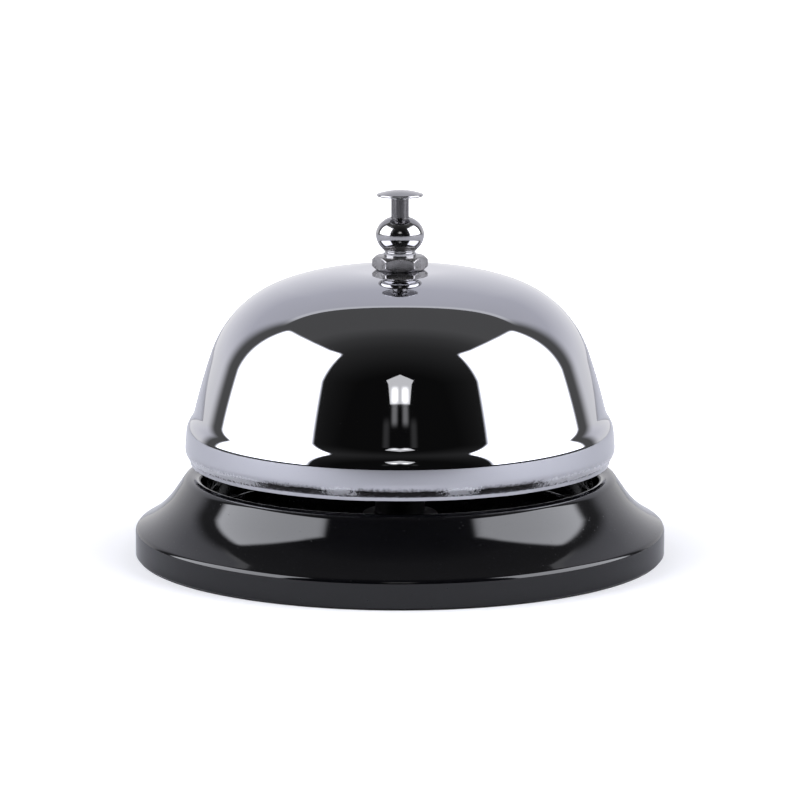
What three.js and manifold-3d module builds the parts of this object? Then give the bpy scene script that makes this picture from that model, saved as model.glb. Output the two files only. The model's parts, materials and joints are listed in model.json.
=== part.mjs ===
// Counter service bell: a chromed dome on a black stamped base, rung by a push button.
// Pressing the button drives a rod down the centre post. The rod tips a lever that
// swings a sprung hammer out against the inside of the dome.
// Millimetres, +Z up, origin at the centre of the underside, front towards -Y.

import * as THREE from 'three';
import { mergeVertices } from 'three/addons/utils/BufferGeometryUtils.js';
import Module from 'manifold-3d';

const wasm = await Module();
wasm.setup();

// Fits
const TOUCH = 0.02;            // gap left between faces that rest on each other
const RUNNING = 0.07;          // radial clearance of a sliding or turning fit
const THREAD = 0.05;           // radial clearance where a thread is drawn smooth

// Facets
const SHELL_SIDES = 40;
const NUT_SIDES = 36;
const SMALL_SIDES = 20;
const RIVET_SIDES = 16;
const WIRE_SIDES = 6;
const LEAF_SIDES = 8;
const SPRING_STEPS_PER_TURN = 12;
const WIDE_BEND = 10;           // a bend of a larger radius than this gets one more facet
const CUT_REACH = 10;          // how far a cutting tool runs past the piece it cuts

// Base
const BASE_SHEET = 0.8;
const BASE_RADIUS = 42.45;
const BASE_LIFT = 0.3;         // the steel edge stands this far off the table on the rubber lip
const BAND_HEIGHT = 3.7;
const WELL_FLOOR = 5;          // top of the recessed floor inside the base
const WELL_FILLET = 1.2;
const FLOOR_HOLE_RADIUS = 3.05;

// Dome
const DOME_SHEET = 0.9;
const DOME_TOP = 45.8;         // outside of the flat seat under the nut
const DOME_HOLE_RADIUS = 2.6;
const DOME_SEAT_RADIUS = 6.5;

// Centre post
const POST_RADIUS = 4;
const POST_BORE_RADIUS = 2.5;
const POST_FLANGE_RADIUS = 6;
const POST_FLANGE_HEIGHT = 1.5;
const POST_STUD_RADIUS = 2.95;
const POST_STUD_BOTTOM = 0.9;
const SPRING_SEAT = 20;        // bottom of the blind bore
const WINDOW_HALF_WIDTH = 2;
const WINDOW_BOTTOM = 33;
const WINDOW_TOP = 39.6;

// Stack between the post and the dome, from the dome downwards
const DOME_UNDERSIDE = DOME_TOP - DOME_SHEET;
const DOME_WASHER_THICKNESS = 0.5;
const DOME_WASHER_RADIUS = 4;
const BRACKET_SHEET = 0.8;
const BRACKET_BOSS_RADIUS = 4.5;
const BRACKET_TOP = DOME_UNDERSIDE - DOME_WASHER_THICKNESS;
const POST_TOP = BRACKET_TOP - BRACKET_SHEET;

// Jam nut, finial and button
const NUT_ACROSS_FLATS = 7.8;
const NUT_CORNER_RADIUS = 4.45;
const NUT_HEIGHT = 2.25;
const NUT_CHAMFER = 0.45;      // height of the turned chamfer on each end of a nut
const NUT_FACE_INSET = 0.15;   // the chamfer starts this far inside the flats
const NUT_TOP = DOME_TOP + NUT_HEIGHT;
const FINIAL_SHANK_RADIUS = POST_BORE_RADIUS - THREAD;
const FINIAL_SHANK_BOTTOM = 40.85;
const NECK_RADIUS = 2.55;
const NECK_GROOVE_HEIGHT = 48.7;
const NECK_GROOVE_DEPTH = 0.16;
const NECK_GROOVE_HALF_WIDTH = 0.15;
const BALL_CENTRE = 51.45;
const BALL_RADIUS = 3.85;
const BALL_RISE = 3;           // the ball's half height above its widest ring
const BALL_FALL = 3.35;        // and below it
const BALL_TOP_FLAT_RADIUS = 1.75;
const STEM_RADIUS = 1.4;
const CAP_RADIUS = 3.7;
const CAP_UNDERSIDE = 57.5;
const CAP_HUB_RADIUS = 1.75;
const CAP_HUB_BOTTOM = 57.2;
const CAP_EDGE = 0.25;
const CAP_EDGE_INSET = 0.2;
const CAP_RIM_STEP = 0.05;
const CAP_TOP = 58.5;
const CAP_SOCKET_TOP = 57.9;
const CAP_HUB_FLARE = 0.3;

// Plunger motion and lever
const TRAVEL = 2.8;            // how far the button goes down
const PIVOT_X = 7;             // distance from the rod's axis to the hinge pin
const PIVOT_Z = 36;
const HALF_SWING = Math.atan(TRAVEL / 2 / PIVOT_X);
const LEVER_HALF_WIDTH = 1.5;
const LEVER_HALF_SHEET = 0.6;
const LEVER_HUB_RADIUS = 1.9;
const LEVER_TAIL_END = 8.5;    // from the hinge pin to the end of the finger under the rod
const LEVER_ARM_END = 10.6;
const ARM_DROP = THREE.MathUtils.degToRad(50.6);   // angle of the arm below level at rest
const ROD_TIP_RADIUS = 1.1;
const ROD_TIP_TAPER = 0.3;     // height of the cone between the round tip and the full rod
const TIP_GAP = 0.05;
const COLLAR_RADIUS = 2.3;
const COLLAR_HEIGHT = 1.1;

// Hinge pin and bracket ears
const PIN_RADIUS = 0.8;
const PIN_HEAD_RADIUS = 1.35;
const PIN_HEAD_HEIGHT = 0.6;
const PIN_END = 1;             // how far the pin stands out past the ear on the clip's side
const CLIP_RADIUS = 1.5;
const CLIP_SHEET = 0.5;
const EAR_INSIDE = 1.8;
const EAR_OUTSIDE = EAR_INSIDE + BRACKET_SHEET;
const EAR_NEAR = 4.7;
const EAR_FAR = 9.2;
const EAR_BOTTOM = 34;

// Hammer
const LEAF_SHEET = 0.5;
const LEAF_START = 4.2;
const LEAF_END = 25.2;
const LEAF_TOP = -LEVER_HALF_SHEET - TOUCH;        // the leaf lies against the lever's back face
const RIVET_RADIUS = 0.6;
const RIVET_HEAD_RADIUS = 1.15;
const RIVET_HEAD_HEIGHT = 0.5;
const RIVET_STATIONS = { inner: 6.2, outer: 9.2 };
const HAMMER_STATION = 23.4;
const HAMMER_RADIUS = 2.3;
const HAMMER_SEAT = 2;         // from the ball's centre down to its flat on the leaf
const HAMMER_SHANK_RADIUS = 0.7;
const HAMMER_TAIL_RADIUS = 1.3;
const HAMMER_TAIL_HEIGHT = 0.6;
const HEAD_TAPER = 0.7;        // a rivet head's end radius as a share of its full radius

// Return spring
const WIRE_RADIUS = 0.25;
const SPRING_RADIUS = 1.95;    // to the middle of the wire
const SPRING_TURNS = 9;
const SPRING_TOP = 36.25;
const END_TURN_PITCH = 0.56;

// Underside fixings
const STUD_NUT_ACROSS_FLATS = 10;
const STUD_NUT_HEIGHT = 2.2;
const STUD_NUT_CORNER_CUT = 0.1;
const LOCK_WASHER_THICKNESS = 0.9;
const LOCK_WASHER_RADIUS = 5.1;
const LOCK_WASHER_HALF_SPLIT = 0.12;   // radians
const FOOT_INNER_RADIUS = 40.4;
const FOOT_LIP_RADIUS = 42.15;
const FOOT_WEB_HEIGHT = 3.4;

// Colours: [colour, roughness, metalness]
const FINISH = {
  chrome: ['#c9c9d2', 0.06, 1],
  polished: ['#bdbcc0', 0.12, 1],
  satin: ['#77757a', 0.3, 1],
  blackPaint: ['#0b0b0c', 0.12, 0.1],
  rubber: ['#1a1a1b', 0.85, 0],
  zinc: ['#9c9ea3', 0.4, 1],
  blackOxide: ['#19191b', 0.5, 0.6],
  springSteel: ['#5f6167', 0.35, 1],
  fibre: ['#6b2f22', 0.8, 0],
};

const bell = new THREE.Group();

function addPart(name, geometry, finish, group = bell) {
  const [color, roughness, metalness] = FINISH[finish];
  const material = new THREE.MeshStandardMaterial({ color, roughness, metalness });
  const mesh = new THREE.Mesh(geometry, material);
  mesh.name = name;
  group.add(mesh);
  return mesh;
}

// ---- Shape helpers ---------------------------------------------------------

// Points [radius, height] turned about Z. The outline runs up its outer side.
function revolve(outline, sides = SMALL_SIDES) {
  const points = outline.map(([r, z]) => new THREE.Vector2(r, z));
  return new THREE.LatheGeometry(points, sides).rotateX(Math.PI / 2);
}

function ring(innerRadius, outerRadius, bottom, top, sides = SMALL_SIDES) {
  const corners = [
    [innerRadius, bottom],
    [outerRadius, bottom],
    [outerRadius, top],
    [innerRadius, top],
    [innerRadius, bottom],
  ];
  return revolve(corners, sides);
}

function rod(radius, bottom, top, sides = SMALL_SIDES) {
  return revolve([[0, bottom], [radius, bottom], [radius, top], [0, top]], sides);
}

// A sheet-metal section drawn as a path of straight runs and bends. Each step is
// { run } or { bend, turn }: a bend radius with a left (+) or right (-) turn in degrees.
// offset moves the whole path to its left, which gives the sheet's other face.
function sheetPath(start, headingDegrees, steps, offset = 0, degreesPerPoint = 20) {
  let heading = THREE.MathUtils.degToRad(headingDegrees);
  let r = start[0] - offset * Math.sin(heading);
  let z = start[1] + offset * Math.cos(heading);
  const points = [[r, z]];
  for (const { run, bend, turn } of steps) {
    if (run) {
      r += run * Math.cos(heading);
      z += run * Math.sin(heading);
      points.push([r, z]);
      continue;
    }
    const side = Math.sign(turn);
    const radius = bend - side * offset;
    const centreR = r - side * radius * Math.sin(heading);
    const centreZ = z + side * radius * Math.cos(heading);
    const count = Math.max(bend > WIDE_BEND ? 3 : 2, Math.round(Math.abs(turn) / degreesPerPoint));
    const stepAngle = THREE.MathUtils.degToRad(turn) / count;
    for (let i = 0; i < count; i += 1) {
      heading += stepAngle;
      r = centreR + side * radius * Math.sin(heading);
      z = centreZ - side * radius * Math.cos(heading);
      points.push([r, z]);
    }
  }
  return points;
}

function toSolid(geometry) {
  const bare = geometry.clone();
  bare.deleteAttribute('normal');
  bare.deleteAttribute('uv');
  const merged = mergeVertices(bare, 1e-4);
  return new wasm.Manifold(new wasm.Mesh({
    numProp: 3,
    vertProperties: new Float32Array(merged.attributes.position.array),
    triVerts: new Uint32Array(merged.index.array),
  }));
}

function toGeometry(solid) {
  const mesh = solid.getMesh();
  const geometry = new THREE.BufferGeometry();
  geometry.setAttribute('position', new THREE.BufferAttribute(mesh.vertProperties, 3));
  geometry.setIndex(new THREE.BufferAttribute(mesh.triVerts, 1));
  geometry.computeVertexNormals();
  return geometry;
}

function cut(geometry, ...tools) {
  let solid = toSolid(geometry);
  for (const tool of tools) {
    solid = solid.subtract(toSolid(tool));
  }
  return toGeometry(solid);
}

function join(...pieces) {
  let solid = toSolid(pieces[0]);
  for (const piece of pieces.slice(1)) {
    solid = solid.add(toSolid(piece));
  }
  return toGeometry(solid);
}

function block(low, high) {
  const size = high.map((value, i) => value - low[i]);
  const centre = high.map((value, i) => (value + low[i]) / 2);
  return new THREE.BoxGeometry(...size).translate(...centre);
}

// A bar that lies along Y, for pins and for the holes they sit in.
function crossBar(radius, fromY, toY, sides = SMALL_SIDES) {
  const length = toY - fromY;
  return new THREE.CylinderGeometry(radius, radius, length, sides)
    .translate(0, fromY + length / 2, 0);
}

function hexPrism(acrossFlats, bottom, top) {
  const cornerRadius = acrossFlats / 2 / Math.cos(Math.PI / 6);
  const outline = new THREE.Shape();
  for (let i = 0; i < 6; i += 1) {
    const angle = (i * Math.PI) / 3;
    const corner = [cornerRadius * Math.cos(angle), cornerRadius * Math.sin(angle)];
    if (i === 0) outline.moveTo(...corner);
    else outline.lineTo(...corner);
  }
  return new THREE.ExtrudeGeometry(outline, { depth: top - bottom, bevelEnabled: false })
    .translate(0, 0, bottom);
}

// A hex nut with both ends turned to a round chamfer.
function hexNut(acrossFlats, cornerRadius, boreRadius, bottom, top) {
  const faceRadius = acrossFlats / 2 - NUT_FACE_INSET;
  const turned = [
    [boreRadius, bottom],
    [faceRadius, bottom],
    [cornerRadius, bottom + NUT_CHAMFER],
    [cornerRadius, top - NUT_CHAMFER],
    [faceRadius, top],
    [boreRadius, top],
    [boreRadius, bottom],
  ];
  const blank = toSolid(revolve(turned, NUT_SIDES));
  const hexagon = hexPrism(acrossFlats, bottom - CUT_REACH, top + CUT_REACH);
  return toGeometry(blank.intersect(toSolid(hexagon)));
}

// ---- Base ------------------------------------------------------------------

// From the bottom edge of the band, up the ogee, over the shoulder and into the well.
const baseSteps = [
  { run: BAND_HEIGHT },
  { bend: 0.9, turn: 59.5 },
  { run: 0.93 },
  { bend: 15.2, turn: -25.3 },
  { run: 2.84 },
  { bend: 1.75, turn: 55.8 },
  { bend: 1.7, turn: 90 },
];

function baseShell() {
  const outer = sheetPath([BASE_RADIUS, BASE_LIFT], 90, baseSteps);
  const wallTop = outer[outer.length - 1];
  const wellSteps = [
    { run: wallTop[1] - WELL_FLOOR - WELL_FILLET },
    { bend: WELL_FILLET, turn: -90 },
    { run: wallTop[0] - WELL_FILLET - FLOOR_HOLE_RADIUS },
  ];
  const steps = [...baseSteps, ...wellSteps];
  const upper = sheetPath([BASE_RADIUS, BASE_LIFT], 90, steps);
  const lower = sheetPath([BASE_RADIUS, BASE_LIFT], 90, steps, BASE_SHEET);
  return revolve([...upper, ...lower.reverse(), upper[0]], SHELL_SIDES);
}

// Rubber ring inside the band, with a thin lip under the steel edge.
function rubberFoot() {
  const bandInside = BASE_RADIUS - BASE_SHEET - THREAD;
  const section = [
    [FOOT_INNER_RADIUS, 0],
    [FOOT_LIP_RADIUS, 0],
    [FOOT_LIP_RADIUS, BASE_LIFT - TOUCH],
    [bandInside, BASE_LIFT - TOUCH],
    [bandInside, FOOT_WEB_HEIGHT],
    [FOOT_INNER_RADIUS, FOOT_WEB_HEIGHT],
    [FOOT_INNER_RADIUS, 0],
  ];
  return revolve(section, SHELL_SIDES);
}

// Split spring washer between the floor and the nut.
function lockWasher() {
  const top = WELL_FLOOR - BASE_SHEET - TOUCH;
  const outline = new THREE.Shape();
  const splitStart = LOCK_WASHER_HALF_SPLIT;
  const splitEnd = 2 * Math.PI - LOCK_WASHER_HALF_SPLIT;
  outline.absarc(0, 0, LOCK_WASHER_RADIUS, splitStart, splitEnd, false);
  outline.absarc(0, 0, POST_STUD_RADIUS + THREAD, splitEnd, splitStart, true);
  return new THREE.ExtrudeGeometry(outline, {
    depth: LOCK_WASHER_THICKNESS,
    bevelEnabled: false,
    curveSegments: SMALL_SIDES,
  }).translate(0, 0, top - LOCK_WASHER_THICKNESS);
}

function studNut() {
  const top = WELL_FLOOR - BASE_SHEET - LOCK_WASHER_THICKNESS - 2 * TOUCH;
  const bottom = top - STUD_NUT_HEIGHT;
  const corner = STUD_NUT_ACROSS_FLATS / 2 / Math.cos(Math.PI / 6) - STUD_NUT_CORNER_CUT;
  return hexNut(STUD_NUT_ACROSS_FLATS, corner, POST_STUD_RADIUS + THREAD, bottom, top);
}

// ---- Post and the stack under the dome -------------------------------------

function centrePost() {
  const flangeBottom = WELL_FLOOR + TOUCH;
  const flangeTop = flangeBottom + POST_FLANGE_HEIGHT;
  const turned = revolve([
    [0, POST_STUD_BOTTOM],
    [POST_STUD_RADIUS, POST_STUD_BOTTOM],
    [POST_STUD_RADIUS, flangeBottom],
    [POST_FLANGE_RADIUS, flangeBottom],
    [POST_FLANGE_RADIUS, flangeTop],
    [POST_RADIUS, flangeTop],
    [POST_RADIUS, POST_TOP - TOUCH],
    [POST_BORE_RADIUS, POST_TOP - TOUCH],
    [POST_BORE_RADIUS, SPRING_SEAT],
    [0, SPRING_SEAT],
  ]);
  const window = block(
    [0, -WINDOW_HALF_WIDTH, WINDOW_BOTTOM],
    [CUT_REACH, WINDOW_HALF_WIDTH, WINDOW_TOP],
  );
  return cut(turned, window);
}

// A plate clamped on top of the post, with two ears folded down beside the lever.
function strikerBracket() {
  const hole = rod(POST_BORE_RADIUS + THREAD, BRACKET_TOP - CUT_REACH, BRACKET_TOP + CUT_REACH);
  const plateBottom = BRACKET_TOP - BRACKET_SHEET;
  const plateTop = BRACKET_TOP - TOUCH;
  const boss = rod(BRACKET_BOSS_RADIUS, plateBottom, plateTop);
  const tongue = block([0, -EAR_OUTSIDE, plateBottom], [EAR_FAR, EAR_OUTSIDE, plateTop]);
  const ears = [-1, 1].map((side) => {
    const nearY = Math.min(side * EAR_INSIDE, side * EAR_OUTSIDE);
    const centreX = (EAR_NEAR + EAR_FAR) / 2;
    const roundRadius = (EAR_FAR - EAR_NEAR) / 2;
    const upper = block(
      [EAR_NEAR, nearY, EAR_BOTTOM + roundRadius],
      [EAR_FAR, nearY + BRACKET_SHEET, plateTop],
    );
    const lower = crossBar(roundRadius, nearY, nearY + BRACKET_SHEET)
      .translate(centreX, 0, EAR_BOTTOM + roundRadius);
    return join(upper, lower);
  });
  const pinHole = crossBar(PIN_RADIUS + THREAD, -CUT_REACH, CUT_REACH)
    .translate(PIVOT_X, 0, PIVOT_Z);
  return cut(join(boss, tongue, ...ears), hole, pinHole);
}

function domeWasher() {
  return ring(DOME_HOLE_RADIUS, DOME_WASHER_RADIUS, BRACKET_TOP, DOME_UNDERSIDE - TOUCH);
}

// From the nut seat over the crown, round the shoulder, down to the flared skirt,
// which tucks in and ends in a short upright lip.
const domeSteps = [
  { run: DOME_SEAT_RADIUS - DOME_HOLE_RADIUS },
  { bend: 37.25, turn: -20.2 },
  { bend: 18, turn: -50.9 },
  { bend: 110, turn: -4.95 },
  { bend: 2.4, turn: 19.6 },
  { run: 0.59 },
  { bend: 4.2, turn: -29.05 },
  { run: 2.5 },
  { bend: 2.2, turn: -34 },
  { run: 0.8 },
  { bend: 0.6, turn: 24 },
  { run: 0.4 },
];

function dome() {
  const start = [DOME_HOLE_RADIUS, DOME_TOP];
  const outer = sheetPath(start, 0, domeSteps);
  const inner = sheetPath(start, 0, domeSteps, -DOME_SHEET);
  return revolve([...outer.reverse(), ...inner, outer[0]], SHELL_SIDES);
}

// ---- Nut, finial and button ------------------------------------------------

function jamNut() {
  const bore = FINIAL_SHANK_RADIUS + THREAD;
  return hexNut(NUT_ACROSS_FLATS, NUT_CORNER_RADIUS, bore, DOME_TOP + TOUCH, NUT_TOP);
}

// Radius of the slightly flattened ball at a height.
function ballRadiusAt(z) {
  const halfHeight = z > BALL_CENTRE ? BALL_RISE : BALL_FALL;
  const reach = (z - BALL_CENTRE) / halfHeight;
  return BALL_RADIUS * Math.sqrt(1 - reach * reach);
}

// Share of the ball's half height at which it has a radius.
function ballShareAt(radius) {
  return Math.sqrt(1 - (radius / BALL_RADIUS) ** 2);
}

function finial() {
  const bore = STEM_RADIUS + RUNNING;
  const ballBottom = BALL_CENTRE - BALL_FALL * ballShareAt(NECK_RADIUS);
  const ballTop = BALL_CENTRE + BALL_RISE * ballShareAt(BALL_TOP_FLAT_RADIUS);
  const outline = [
    [bore, FINIAL_SHANK_BOTTOM],
    [FINIAL_SHANK_RADIUS, FINIAL_SHANK_BOTTOM],
    [FINIAL_SHANK_RADIUS, NUT_TOP + TOUCH],
    [NECK_RADIUS, NUT_TOP + TOUCH],
    [NECK_RADIUS, NECK_GROOVE_HEIGHT - NECK_GROOVE_HALF_WIDTH],
    [NECK_RADIUS - NECK_GROOVE_DEPTH, NECK_GROOVE_HEIGHT],
    [NECK_RADIUS, NECK_GROOVE_HEIGHT + NECK_GROOVE_HALF_WIDTH],
  ];
  const rings = 8;
  for (let i = 0; i <= rings; i += 1) {
    const z = THREE.MathUtils.lerp(ballBottom, ballTop, i / rings);
    outline.push([ballRadiusAt(z), z]);
  }
  outline.push([bore, ballTop], outline[0]);
  return revolve(outline);
}

// The rod's round tip sits just clear of the lever's finger.
const FINGER_TOP_GAP = (ROD_TIP_RADIUS + TIP_GAP + LEVER_HALF_SHEET) / Math.cos(HALF_SWING);
const ROD_TIP_CENTRE = PIVOT_Z + TRAVEL / 2 + FINGER_TOP_GAP;

function plungerRod() {
  const outline = [];
  const steps = 5;
  for (let i = 0; i <= steps; i += 1) {
    const angle = (i / steps) * (Math.PI / 2);
    const z = ROD_TIP_CENTRE - ROD_TIP_RADIUS * Math.cos(angle);
    outline.push([ROD_TIP_RADIUS * Math.sin(angle), z]);
  }
  outline.push(
    [STEM_RADIUS, ROD_TIP_CENTRE + ROD_TIP_TAPER],
    [STEM_RADIUS, CAP_SOCKET_TOP - TOUCH],
    [0, CAP_SOCKET_TOP - TOUCH],
  );
  return revolve(outline);
}

// Pressed on the rod; it stops against the finial's shank and keeps the rod in.
function plungerCollar() {
  const top = FINIAL_SHANK_BOTTOM - TOUCH;
  return ring(STEM_RADIUS + TOUCH, COLLAR_RADIUS, top - COLLAR_HEIGHT, top);
}

function buttonCap() {
  const socket = STEM_RADIUS + TOUCH;
  const outline = [
    [0, CAP_SOCKET_TOP],
    [socket, CAP_SOCKET_TOP],
    [socket, CAP_HUB_BOTTOM],
    [CAP_HUB_RADIUS, CAP_HUB_BOTTOM],
    [CAP_HUB_RADIUS + CAP_HUB_FLARE, CAP_UNDERSIDE - CAP_RIM_STEP],
    [CAP_RADIUS - CAP_EDGE_INSET, CAP_UNDERSIDE],
    [CAP_RADIUS, CAP_UNDERSIDE + CAP_EDGE / 2],
  ];
  const steps = 6;
  const crownBottom = CAP_UNDERSIDE + CAP_EDGE;
  const crownRadius = CAP_RADIUS - CAP_RIM_STEP;
  for (let i = 0; i <= steps; i += 1) {
    const angle = (i / steps) * (Math.PI / 2);
    const z = crownBottom + (CAP_TOP - crownBottom) * Math.sin(angle);
    outline.push([crownRadius * Math.cos(angle), z]);
  }
  return revolve(outline);
}

// ---- Return spring ---------------------------------------------------------

// A compression spring with one closed turn at each end.
class SpringCurve extends THREE.Curve {
  getPoint(t, target = new THREE.Vector3()) {
    const turn = t * SPRING_TURNS;
    const bottom = SPRING_SEAT + TOUCH + WIRE_RADIUS;
    const top = SPRING_TOP - WIRE_RADIUS;
    const openPitch = (top - bottom - 2 * END_TURN_PITCH) / (SPRING_TURNS - 2);
    const closedTurns = Math.min(turn, 1) + Math.max(turn - SPRING_TURNS + 1, 0);
    const height = closedTurns * END_TURN_PITCH + (turn - closedTurns) * openPitch;
    const angle = turn * 2 * Math.PI;
    return target.set(SPRING_RADIUS * Math.cos(angle), SPRING_RADIUS * Math.sin(angle), bottom + height);
  }
}

function returnSpring() {
  const wire = new THREE.Shape();
  for (let i = 0; i < WIRE_SIDES; i += 1) {
    const angle = (i / WIRE_SIDES) * 2 * Math.PI;
    const corner = [WIRE_RADIUS * Math.cos(angle), WIRE_RADIUS * Math.sin(angle)];
    if (i === 0) wire.moveTo(...corner);
    else wire.lineTo(...corner);
  }
  return new THREE.ExtrudeGeometry(wire, {
    steps: SPRING_TURNS * SPRING_STEPS_PER_TURN,
    extrudePath: new SpringCurve(),
    bevelEnabled: false,
  });
}

// ---- Hinge and lever -------------------------------------------------------

function hingePin() {
  const headInside = -EAR_OUTSIDE - TOUCH;
  const headOutside = headInside - PIN_HEAD_HEIGHT;
  const head = crossBar(PIN_HEAD_RADIUS, headOutside, headInside);
  const shank = crossBar(PIN_RADIUS, (headOutside + headInside) / 2, EAR_OUTSIDE + PIN_END);
  return join(head, shank);
}

function hingePinClip() {
  const nearY = EAR_OUTSIDE + TOUCH;
  const disc = crossBar(CLIP_RADIUS, nearY, nearY + CLIP_SHEET);
  return cut(disc, crossBar(PIN_RADIUS + TOUCH, nearY - CUT_REACH, nearY + CUT_REACH));
}

// Lever parts are drawn about the hinge pin with the arm along +X, the striking
// side towards +Z and the sheet's width along Y.
function strikerLever() {
  const hub = crossBar(LEVER_HUB_RADIUS, -LEVER_HALF_WIDTH, LEVER_HALF_WIDTH);
  const low = [0, -LEVER_HALF_WIDTH, -LEVER_HALF_SHEET];
  const arm = block(low, [LEVER_ARM_END, LEVER_HALF_WIDTH, LEVER_HALF_SHEET]);
  const finger = block(low, [LEVER_TAIL_END, LEVER_HALF_WIDTH, LEVER_HALF_SHEET]);
  // The finger points away from the arm, HALF_SWING above level when the arm hangs at ARM_DROP.
  finger.rotateY(-(Math.PI - HALF_SWING + ARM_DROP));
  const holes = Object.values(RIVET_STATIONS).map((station) => (
    rod(RIVET_RADIUS + THREAD, -CUT_REACH, CUT_REACH, RIVET_SIDES).translate(station, 0, 0)
  ));
  const pinHole = crossBar(PIN_RADIUS + RUNNING, -CUT_REACH, CUT_REACH);
  return cut(join(hub, arm, finger), pinHole, ...holes);
}

// Spring-steel leaf that carries the hammer and lets it whip on past the lever.
function hammerLeaf() {
  const outline = new THREE.Shape();
  const half = LEVER_HALF_WIDTH;
  outline.moveTo(LEAF_START, -half);
  outline.lineTo(LEAF_END - half, -half);
  outline.absarc(LEAF_END - half, 0, half, -Math.PI / 2, Math.PI / 2, false);
  outline.lineTo(LEAF_START, half);
  outline.closePath();
  const stations = [
    ...Object.values(RIVET_STATIONS).map((x) => [x, RIVET_RADIUS + THREAD]),
    [HAMMER_STATION, HAMMER_SHANK_RADIUS + THREAD],
  ];
  for (const [x, radius] of stations) {
    const hole = new THREE.Path();
    hole.absarc(x, 0, radius, 0, 2 * Math.PI, true);
    outline.holes.push(hole);
  }
  return new THREE.ExtrudeGeometry(outline, {
    depth: LEAF_SHEET,
    bevelEnabled: false,
    curveSegments: LEAF_SIDES,
  }).translate(0, 0, LEAF_TOP - LEAF_SHEET);
}

function armRivet(station) {
  const gripTop = LEVER_HALF_SHEET + TOUCH;
  const gripBottom = LEAF_TOP - LEAF_SHEET - TOUCH;
  const outline = [
    [0, gripBottom - RIVET_HEAD_HEIGHT],
    [RIVET_HEAD_RADIUS * HEAD_TAPER, gripBottom - RIVET_HEAD_HEIGHT],
    [RIVET_HEAD_RADIUS, gripBottom],
    [RIVET_RADIUS, gripBottom],
    [RIVET_RADIUS, gripTop],
    [RIVET_HEAD_RADIUS, gripTop],
    [RIVET_HEAD_RADIUS * HEAD_TAPER, gripTop + RIVET_HEAD_HEIGHT],
    [0, gripTop + RIVET_HEAD_HEIGHT],
  ];
  return revolve(outline, RIVET_SIDES).translate(station, 0, 0);
}

// A ball with a flat on the leaf and a shank headed over behind it.
function strikerHead() {
  const seat = LEAF_TOP + TOUCH;
  const leafBack = LEAF_TOP - LEAF_SHEET - TOUCH;
  const centre = seat + HAMMER_SEAT;
  const seatAngle = Math.acos(HAMMER_SEAT / HAMMER_RADIUS);
  const outline = [
    [0, leafBack - HAMMER_TAIL_HEIGHT],
    [HAMMER_TAIL_RADIUS * HEAD_TAPER, leafBack - HAMMER_TAIL_HEIGHT],
    [HAMMER_TAIL_RADIUS, leafBack],
    [HAMMER_SHANK_RADIUS, leafBack],
    [HAMMER_SHANK_RADIUS, seat],
  ];
  const steps = 10;
  for (let i = 0; i <= steps; i += 1) {
    const angle = THREE.MathUtils.lerp(seatAngle, Math.PI, i / steps);
    outline.push([HAMMER_RADIUS * Math.sin(angle), centre - HAMMER_RADIUS * Math.cos(angle)]);
  }
  outline[outline.length - 1][0] = 0;
  return revolve(outline).translate(HAMMER_STATION, 0, 0);
}

// ---- Assembly --------------------------------------------------------------

addPart('rubber_foot', rubberFoot(), 'rubber');
addPart('base_shell', baseShell(), 'blackPaint');
addPart('stud_lock_washer', lockWasher(), 'zinc');
addPart('stud_nut', studNut(), 'zinc');
addPart('centre_post', centrePost(), 'blackOxide');
addPart('return_spring', returnSpring(), 'springSteel');
addPart('striker_bracket', strikerBracket(), 'zinc');
addPart('dome_washer', domeWasher(), 'fibre');
addPart('dome', dome(), 'chrome');
addPart('jam_nut', jamNut(), 'satin');
addPart('finial', finial(), 'polished');
addPart('plunger_rod', plungerRod(), 'satin');
addPart('plunger_collar', plungerCollar(), 'zinc');
addPart('button_cap', buttonCap(), 'polished');

const hinge = new THREE.Group();
hinge.position.set(PIVOT_X, 0, PIVOT_Z);
bell.add(hinge);
addPart('hinge_pin', hingePin(), 'zinc', hinge);
addPart('hinge_pin_clip', hingePinClip(), 'springSteel', hinge);

const lever = new THREE.Group();
lever.rotation.y = ARM_DROP;
hinge.add(lever);
addPart('striker_lever', strikerLever(), 'zinc', lever);
addPart('hammer_leaf', hammerLeaf(), 'springSteel', lever);
addPart('arm_rivet_inner', armRivet(RIVET_STATIONS.inner), 'zinc', lever);
addPart('arm_rivet_outer', armRivet(RIVET_STATIONS.outer), 'zinc', lever);
addPart('striker_head', strikerHead(), 'polished', lever);

export default bell;
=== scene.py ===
"""Looks of a service bell: chromed dome, gloss black base, push button and the works inside."""
import json
import math

import bmesh
import bpy
from mathutils import Matrix, Vector, noise

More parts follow.
